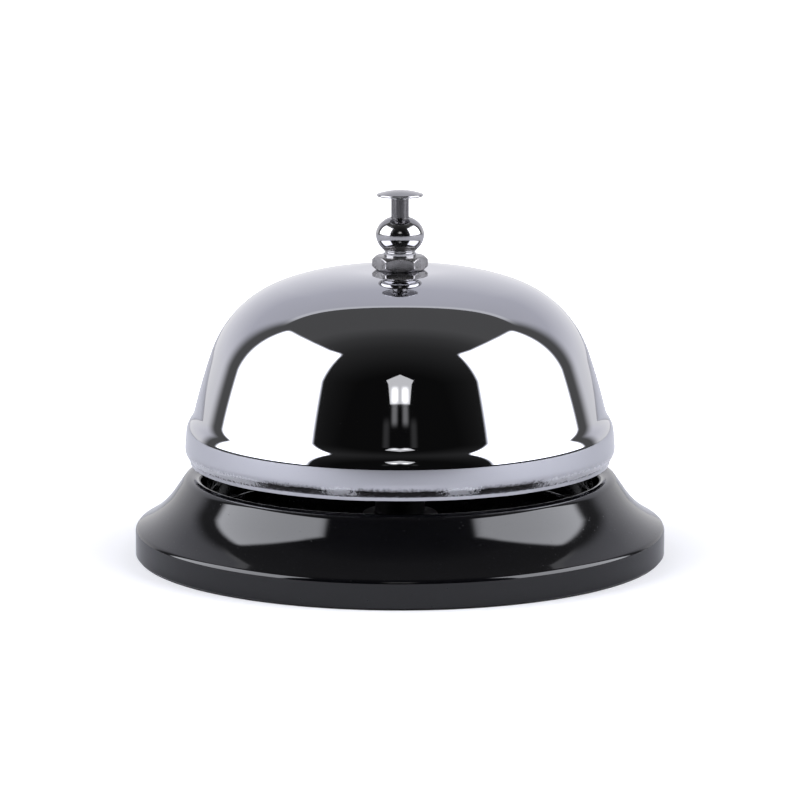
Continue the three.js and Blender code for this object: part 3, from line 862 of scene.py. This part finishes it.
def return_spring():
    """Compression spring with a closed turn at each end."""
    wire, coil, turns = 0.25, 1.95, 9
    per_turn, sides = 48, 12
    end_pitch = 0.56
    end_size = 0.55
    nudge = 0.01
    fixed_end = low("return_spring")[2]
    bottom = fixed_end + wire
    top = high("return_spring")[2] - wire
    open_pitch = (top - bottom - 2 * end_pitch) / (turns - 2)

    def middle(turn):
        closed = min(turn, 1) + max(turn - turns + 1, 0)
        height = bottom + closed * end_pitch + (turn - closed) * open_pitch
        return Vector(spun(coil, height, 2 * math.pi * turn))

    bm = bmesh.new()
    rings = []
    count = turns * per_turn
    for k in range(count + 1):
        turn = k / per_turn
        point = middle(turn)
        out = Vector(spun(1, 0, 2 * math.pi * turn))
        ahead = (middle(turn + nudge) - middle(turn - nudge)).normalized()
        up = ahead.cross(out).normalized()
        size = wire * (end_size if k in (0, count) else 1.0)
        ring = []
        for i in range(sides):
            a = 2 * math.pi * i / sides
            ring.append(bm.verts.new(point + (out * math.cos(a) + up * math.sin(a)) * size))
        rings.append(ring)
    skin(bm, rings)
    piece = add_piece("return_spring", bm, sharp_angle=50)
    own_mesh(piece)


# ---- Bracket -----------------------------------------------------------------------------


def striker_bracket():
    """Plate under the dome with two ears folded down beside the lever."""
    sheet = 0.8
    fold = 1.1
    boss, hole_radius, pin_hole_radius = 4.5, 2.55, 0.85
    near = 4.7
    far, ear_out, top = high("striker_bracket")
    bottom = low("striker_bracket")[2]
    under = top - sheet
    ear_in = ear_out - sheet
    # The channel is a hair thinner than the plate, so that no two of their faces lie in one plane
    hair = 0.003
    tongue = ear_out - hair
    from_x = math.degrees(math.asin(tongue / boss))
    plate_outline = arc((0, 0), boss, boss, from_x, 360 - from_x, 60)
    plate_outline += [(near + TOUCH, -tongue), (near + TOUCH, tongue)]
    plate = prism(plate_outline, under, top)
    # The channel's section is drawn across Y and Z and runs along X
    outer_z = top - hair - fold
    inside = fold - sheet
    inner_z = under + hair - inside
    section = [(-ear_out, bottom)]
    section += corner_arc(-ear_out + fold, outer_z, fold, 180, 90, 10)
    section += corner_arc(ear_out - fold, outer_z, fold, 90, 0, 10)
    section += [(ear_out, bottom), (ear_in, bottom)]
    section += corner_arc(ear_in - inside, inner_z, inside, 0, 90, 6)
    section += corner_arc(-ear_in + inside, inner_z, inside, 90, 180, 6)
    section += [(-ear_in, bottom)]
    along_x = Matrix(((0, 0, 1, 0), (1, 0, 0, 0), (0, 1, 0, 0), (0, 0, 0, 1)))
    channel = moved(prism(section, near, far), along_x)
    # The ears' ends are round
    half = (far - near) / 2
    centre_z = bottom + half
    waste = 1
    end_cut = [(near - waste, bottom - waste), (far + waste, bottom - waste),
               (far + waste, centre_z)]
    end_cut += corner_arc(near + half, centre_z, half, 0, -180, 32)
    end_cut += [(near - waste, centre_z)]
    rounding = moved(prism(end_cut, -CUT_REACH, CUT_REACH), UPRIGHT)
    hole = prism(circle(hole_radius, sides=64), under - CUT_REACH, top + CUT_REACH)
    pin_hole = bar_along_y(pin_hole_radius, CUT_REACH, PIVOT[0], PIVOT[2])
    bm = combined(plate, adds=[channel], cuts=[rounding, hole, pin_hole])
    add_piece("striker_bracket", bm, sharp_angle=25, soft=(0.07,))


# ---- Hinge and hammer, drawn about the hinge pin with the arm along X --------------------

ARM_DROP = math.radians(50.6)
HALF_SWING = math.atan(HALF_TRAVEL / PIVOT[0])
LEVER_PLACE = Matrix.Translation(Vector(PIVOT)) @ Matrix.Rotation(ARM_DROP, 4, "Y")
LEVER_HALF_WIDTH = 1.5
LEVER_HALF_SHEET = 0.6
RIVET_STATIONS = {"inner": 6.2, "outer": 9.2}
RIVET_HOLE = 0.65
HAMMER_STATION = 23.4
HAMMER_HOLE = 0.75
LEAF_TOP = -0.62
LEAF_SHEET = 0.5


def on_hinge(bm, start_y):
    """Lays a revolved shape along the hinge's axis, from a Y onwards."""
    along_y = Matrix.Rotation(math.radians(-90), 4, "X")
    return moved(bm, Matrix.Translation((PIVOT[0], start_y, PIVOT[2])) @ along_y)


def hinge_pin():
    """Shouldered pin with a domed head on one side."""
    start = low("hinge_pin")[1]
    end = high("hinge_pin")[1]
    radius, chamfer = 0.8, 0.2
    head, head_top = 1.35, 0.6
    outline = [(0, 0), (0.75, 0.04), (1.1, 0.14), (head, 0.36), (head, head_top),
               (radius, head_top), (radius, end - start - chamfer),
               (radius - chamfer, end - start), (0, end - start)]
    add_piece("hinge_pin", on_hinge(revolved(outline, 48), start))


def hinge_pin_clip():
    """Push-on ring that keeps the pin in."""
    inner = 0.82
    near = low("hinge_pin_clip")[1]
    far = high("hinge_pin_clip")[1]
    outer = high("hinge_pin_clip")[0] - PIVOT[0]
    bm = revolved(ring_outline(inner, outer, 0, far - near, 0.1), 48)
    add_piece("hinge_pin_clip", on_hinge(bm, near))


def blade(length):
    """A flat arm of the lever, from the pin outwards, with its far corners round."""
    corner = 0.6
    side = LEVER_HALF_WIDTH - corner
    outline = [(0, -LEVER_HALF_WIDTH)]
    outline += corner_arc(length - corner, -side, corner, -90, 0, 6)
    outline += corner_arc(length - corner, side, corner, 0, 90, 6)
    outline += [(0, LEVER_HALF_WIDTH)]
    return prism(outline, -LEVER_HALF_SHEET, LEVER_HALF_SHEET)


def rivet_holes():
    return [prism(circle(RIVET_HOLE, (x, 0), 32), -CUT_REACH, CUT_REACH)
            for x in RIVET_STATIONS.values()]


def striker_lever():
    """A hub on the pin, an arm for the hammer's leaf and a finger under the rod."""
    hub_radius, pin_hole_radius = 1.9, 0.87
    arm_length, finger_length = 10.6, 8.5
    arm = blade(arm_length)
    turn = Matrix.Rotation(-(math.pi - HALF_SWING + ARM_DROP), 4, "Y")
    finger = moved(blade(finger_length), turn)
    pin_hole = bar_along_y(pin_hole_radius, CUT_REACH)
    bm = combined(bar_along_y(hub_radius, LEVER_HALF_WIDTH), adds=[arm, finger],
                  cuts=[pin_hole, *rivet_holes()])
    add_piece("striker_lever", moved(bm, LEVER_PLACE), sharp_angle=25, soft=(0.07,))


def hammer_leaf():
    """The thin spring arm that carries the hammer."""
    start, end = 4.2, 25.2
    half = LEVER_HALF_WIDTH
    outline = [(start, -half)] + corner_arc(end - half, 0, half, -90, 90, 32) + [(start, half)]
    holes = rivet_holes()
    holes.append(prism(circle(HAMMER_HOLE, (HAMMER_STATION, 0), 32), -CUT_REACH, CUT_REACH))
    bm = combined(prism(outline, LEAF_TOP - LEAF_SHEET, LEAF_TOP), cuts=holes)
    add_piece("hammer_leaf", moved(bm, LEVER_PLACE), sharp_angle=25, soft=(0.06,))


def dome_head(radius, height, seat, neck):
    """A rivet head from its neck out and round to its crown; its height may be downwards."""
    return [(neck, seat)] + arc((0, seat), radius, height, 0, 90, 8)


def arm_rivet(which):
    """One of the two rivets that hold the leaf under the lever's arm."""
    shank, head, head_height = 0.6, 1.15, 0.5
    bottom = LEAF_TOP - LEAF_SHEET - TOUCH
    top = LEVER_HALF_SHEET + TOUCH
    lower = dome_head(head, -head_height, bottom, shank)[::-1]
    bm = revolved(lower + dome_head(head, head_height, top, shank), 48)
    station = Matrix.Translation((RIVET_STATIONS[which], 0, 0))
    add_piece(f"arm_rivet_{which}", moved(bm, LEVER_PLACE @ station))


def striker_head():
    """A turned ball with a flat against the leaf, and its tail headed over behind."""
    shank, tail_head, tail_height = 0.7, 1.3, 0.6
    radius, flat_to_centre = 2.3, 2.0
    seat = LEAF_TOP + TOUCH
    back = LEAF_TOP - LEAF_SHEET - TOUCH
    flat_edge = math.degrees(math.acos(flat_to_centre / radius))
    outline = dome_head(tail_head, -tail_height, back, shank)[::-1] + [(shank, seat)]
    outline += corner_arc(0, seat + flat_to_centre, radius, flat_edge - 90, 90, 36)
    station = Matrix.Translation((HAMMER_STATION, 0, 0))
    add_piece("striker_head", moved(revolved(outline, 64), LEVER_PLACE @ station))


# ---- Finial, button and rod --------------------------------------------------------------


def finial():
    """Turned ball on a neck with one shallow groove, and the shank that screws into the post."""
    neck, shank, bore = 2.55, 2.45, STEM_RADIUS + RUNNING
    groove_depth, groove_half = 0.16, 0.18
    groove = NUT_TOP + 0.65
    rise, fall = 3.0, 3.35
    top_flat, flat_round = 1.75, 0.12
    groove_steps, ball_steps = 8, 48
    last = math.acos(top_flat / BALL_RADIUS)
    first = -math.acos(neck / BALL_RADIUS)
    centre = BALL_TOP - rise * math.sin(last)
    outline = [(bore, SHANK_BOTTOM), (shank, SHANK_BOTTOM),
               (shank, NUT_TOP + TOUCH), (neck, NUT_TOP + TOUCH)]
    for k in range(groove_steps + 1):
        t = k / groove_steps
        outline.append((neck - groove_depth * math.sin(math.pi * t),
                        groove - groove_half + 2 * groove_half * t))
    for k in range(ball_steps + 1):
        angle = first + (last - first) * k / ball_steps
        half_height = rise if angle > 0 else fall
        outline.append((BALL_RADIUS * math.cos(angle), centre + half_height * math.sin(angle)))
    # The bore's mouth is broken and a trace lower than the ball's flat
    outline += [(top_flat - flat_round, BALL_TOP), (bore + 0.1, BALL_TOP - 0.02),
                (bore, BALL_TOP - 0.12), outline[0]]
    add_piece("finial", revolved(outline, 128))


def button_cap():
    """Thin mushroom cap with a hub that is pressed onto the rod."""
    under, edge = 57.5, 0.44
    socket, socket_top = STEM_RADIUS + TOUCH, 57.9
    hub, flare, flare_step = 1.62, 0.5, 0.06
    edge_inset = 0.3
    flare_height = under - flare_step - CAP_HUB_BOTTOM
    half_edge = edge / 2
    rim = CAP_RADIUS - half_edge
    rise = CAP_TOP - under - edge
    crown_steps = 24
    outline = [(0, socket_top), (socket, socket_top), (socket, CAP_HUB_BOTTOM)]
    outline += arc((hub + flare, CAP_HUB_BOTTOM), flare, flare_height, 180, 90, 8)
    outline.append((CAP_RADIUS - edge_inset, under))
    outline += corner_arc(rim, under + half_edge, half_edge, -90, 90, 8)
    for k in range(1, crown_steps + 1):
        t = 1 - k / crown_steps
        outline.append((rim * t, under + edge + rise * (1 - t * t)))
    add_piece("button_cap", revolved(outline, 128))


def plunger_rod():
    """The stem, down to its round tip on the lever's finger."""
    tip, cone = 1.1, 0.3
    bottom = low("plunger_rod")[2]
    top = high("plunger_rod")[2]
    outline = corner_arc(0, bottom + tip, tip, -90, 0, 12)
    outline += [(STEM_RADIUS, bottom + tip + cone), (STEM_RADIUS, top), (0, top)]
    add_piece("plunger_rod", revolved(outline))


# ---- Studio, in metres -------------------------------------------------------------------


def emitter(name, strength, tint=(1, 1, 1), fades=None, shades=None):
    """A glow. Where asked, it fades out towards a card's edges and is coloured by height.

    fades are shares of the card's size: left, right, bottom and top.
    """
    material = bpy.data.materials.new(name)
    material.use_nodes = True
    n = Tree(material.node_tree)
    n.tree.nodes.clear()
    glow = n.add("ShaderNodeEmission")
    glow.inputs["Color"].default_value = (*tint, 1)
    glow.inputs["Strength"].default_value = strength
    surface = glow
    if fades:
        left, right, bottom, top = fades
        place = n.split(n.add("ShaderNodeTexCoord").outputs["UV"])
        fade = n.spread(place["X"], 0.0, left, 0.0, 1.0, "SMOOTHSTEP")
        fade = n.times(fade, n.spread(place["X"], 1 - right, 1.0, 1.0, 0.0, "SMOOTHSTEP"))
        fade = n.times(fade, n.spread(place["Y"], 0.0, bottom, 0.0, 1.0, "SMOOTHSTEP"))
        fade = n.times(fade, n.spread(place["Y"], 1 - top, 1.0, 1.0, 0.0, "SMOOTHSTEP"))
        surface = n.mix_shaders(fade, n.add("ShaderNodeBsdfTransparent"), glow)
        if shades:
            n.link(n.ramp(place["Y"], shades), glow.inputs["Color"])
    out = n.add("ShaderNodeOutputMaterial")
    n.link(surface.outputs[0], out.inputs["Surface"])
    return material


def stage_light(name, mesh, material):
    """A lamp that only lights the scene and shows in reflections."""
    mesh.materials.append(material)
    piece = linked(name, mesh)
    piece.visible_camera = False
    return piece


def card(name, azimuth, distance, half_width, bottom, tops, material):
    """An upright card that faces the bell. Its top edge goes through the tops, left to right.

    Azimuth 0 is in front, positive to the right.
    """
    turn = math.radians(azimuth)
    centre = Vector((math.sin(turn), -math.cos(turn), 0)) * distance
    along = Vector((math.cos(turn), math.sin(turn), 0)) * half_width
    last = len(tops) - 1
    points = []
    faces = []
    uvs = []
    rows = 6
    for k, top in enumerate(tops):
        for row in range(rows + 1):
            place = centre + along * (2 * k / last - 1)
            points.append((place.x, place.y, bottom + (top - bottom) * row / rows))
            uvs.append((k / last, row / rows))
    for k in range(last):
        for row in range(rows):
            first = k * (rows + 1) + row
            faces.append((first, first + rows + 1, first + rows + 2, first + 1))
    mesh = bpy.data.meshes.new(name)
    mesh.from_pydata(points, [], faces)
    layer = mesh.uv_layers.new(name="card")
    for loop in mesh.loops:
        layer.data[loop.index].uv = uvs[loop.vertex_index]
    return stage_light(name, mesh, material)


LAMP_Y = -0.7
LAMP_HOOD = [(-0.071, 0.336), (0.071, 0.336), (0.106, 0.452), (0, 0.551), (-0.106, 0.452)]
HOOD_STRENGTH = 0.96
# The bars on each side: distance from the middle, half width, bottom, top, strength and how far
# in front of the hood
LAMP_BARS = {
    "lamp_tube": (0.038, 0.037, 0.33, 0.386, 3.0, 0.002),
    "lamp_spill": (0.038, 0.032, 0.272, 0.345, 0.26, 0.001),
    "lamp_foot": (0.094, 0.034, 0.217, 0.308, 0.05, 0.0),
}
BAR_FADES = (0.45, 0.45, 0.3, 0.3)


def front_lamp():
    """A hooded lamp in front: a house-shaped glow with two brighter tubes and their spill below."""
    mesh = bpy.data.meshes.new("lamp_hood")
    corners = [(x, LAMP_Y, z) for x, z in LAMP_HOOD]
    mesh.from_pydata(corners, [], [tuple(range(len(corners)))])
    stage_light("lamp_hood", mesh, emitter("lamp_hood", HOOD_STRENGTH))
    for side, sign in (("left", -1), ("right", 1)):
        for kind, (centre, half_width, bottom, top, strength, forward) in LAMP_BARS.items():
            name = f"{kind}_{side}"
            glow = emitter(name, strength, fades=BAR_FADES)
            bar = card(name, 0, -LAMP_Y - forward, half_width, bottom, (top, top), glow)
            bar.location.x = sign * centre


FLOOR_HALF = 1.6
FLOOR_FRONT = -1.1
FLOOR_COLOUR = (0.62, 0.622, 0.645)
# Distances from the bell's axis between which the floor turns plain white to the camera, and
# its glow at the first one
FLOOR_FADE = (0.042, 0.085)
FLOOR_GLOW = 0.36


def floor():
    """White table. To the camera it fades to plain white away from the bell."""
    mesh = bpy.data.meshes.new("floor")
    corners = [(-FLOOR_HALF, FLOOR_FRONT, 0), (FLOOR_HALF, FLOOR_FRONT, 0),
               (FLOOR_HALF, FLOOR_HALF, 0), (-FLOOR_HALF, FLOOR_HALF, 0)]
    mesh.from_pydata(corners, [], [(0, 1, 2, 3)])
    n = Finish("floor_white")
    n.shader.inputs["Base Color"].default_value = (*FLOOR_COLOUR, 1)
    n.shader.inputs["Roughness"].default_value = 0.9
    n.shader.inputs["Specular IOR Level"].default_value = 0.1
    n.shader.inputs["Emission Color"].default_value = (1, 1, 1, 1)
    fade = n.spread(n.length(n.place), *FLOOR_FADE, FLOOR_GLOW, 1.0)
    seen = n.times(fade, n.add("ShaderNodeLightPath").outputs["Is Camera Ray"])
    n.link(seen, n.shader.inputs["Emission Strength"])
    mesh.materials.append(n.material)
    piece = linked("floor", mesh)


# How bright the room is by the Y of a direction, from the front to straight across
ROOM_FRONT = -0.8
ROOM_LIGHT = [(-0.8, 0.006), (-0.7, 0.012), (-0.39, 0.036), (-0.2, 0.062), (0.0, 0.115)]


def world():
    """White to the camera; to reflections a dim room that gets darker towards the front."""
    sky = bpy.data.worlds.new("room")
    bpy.context.scene.world = sky
    sky.use_nodes = True
    n = Tree(sky.node_tree)
    n.tree.nodes.clear()
    white = n.add("ShaderNodeBackground")
    white.inputs["Color"].default_value = (1, 1, 1, 1)
    room = n.add("ShaderNodeBackground")
    direction = n.split(n.add("ShaderNodeTexCoord").outputs["Generated"])
    stops = [(1 - y / ROOM_FRONT, (light, light, light)) for y, light in ROOM_LIGHT]
    shade = n.ramp(n.spread(direction["Y"], ROOM_FRONT, 0.0), stops)
    n.link(shade, room.inputs["Color"])
    camera_ray = n.add("ShaderNodeLightPath").outputs["Is Camera Ray"]
    out = n.add("ShaderNodeOutputWorld")
    n.link(n.mix_shaders(camera_ray, room, white).outputs[0], out.inputs["Surface"])


SOFTBOX_AZIMUTH = 81.5
SOFTBOX_DISTANCE = 0.7
SOFTBOX_HALF_WIDTH = 0.472
SOFTBOX_BOTTOM = 0.065
SOFTBOX_TOPS = (1.13, 1.01, 0.96, 0.93, 0.92)    # from the side nearer to the front
SOFTBOX_STRENGTH = 5.6
SOFTBOX_TINT = (0.92, 0.935, 1)
SOFTBOX_FADES = {"left": (0.1, 0.08, 0.03, 0.12), "right": (0.08, 0.1, 0.03, 0.12)}
WALL_DISTANCE = 0.8
WALL_HALF_WIDTH = 1.26
WALL_TOP = 1.46
WALL_FADES = (0.17, 0.17, 0.001, 0.01)
WALL_SHADES = [(0.0, (0.98, 0.98, 1.0)), (0.12, (0.93, 0.93, 0.99)), (0.42, (0.66, 0.665, 0.74)),
               (0.87, (0.64, 0.645, 0.71)), (0.91, (0.82, 0.825, 0.87)), (1.0, (0.82, 0.825, 0.87))]


def studio():
    world()
    floor()
    for side, azimuth, tops in (("left", -SOFTBOX_AZIMUTH, SOFTBOX_TOPS[::-1]),
                                ("right", SOFTBOX_AZIMUTH, SOFTBOX_TOPS)):
        glow = emitter(f"softbox_glow_{side}", SOFTBOX_STRENGTH, SOFTBOX_TINT, SOFTBOX_FADES[side])
        card(f"softbox_{side}", azimuth, SOFTBOX_DISTANCE, SOFTBOX_HALF_WIDTH, SOFTBOX_BOTTOM,
             tops, glow)
    wall = emitter("wall_glow", 1.0, fades=WALL_FADES, shades=WALL_SHADES)
    card("back_wall", 180, WALL_DISTANCE, WALL_HALF_WIDTH, 0.0, (WALL_TOP, WALL_TOP), wall)
    front_lamp()
    view = bpy.context.scene.view_settings
    view.view_transform = "Standard"
    view.look = "None"


# ---- Build -------------------------------------------------------------------------------

make_camera()
base_shell()
rubber_foot()
lock_washer()
hex_nut("stud_nut", bore=3.0, inset=0.15, slope=0.6)
centre_post()
return_spring()
striker_bracket()
washer("dome_washer", DOME_HOLE_RADIUS, soft=0.08)
dome()
hex_nut("jam_nut", bore=2.5, inset=0.12, slope=0.85)
finial()
plunger_rod()
washer("plunger_collar", STEM_RADIUS + TOUCH, soft=0.15, sides=64)
button_cap()
hinge_pin()
hinge_pin_clip()
striker_lever()
hammer_leaf()
arm_rivet("inner")
arm_rivet("outer")
striker_head()
studio()
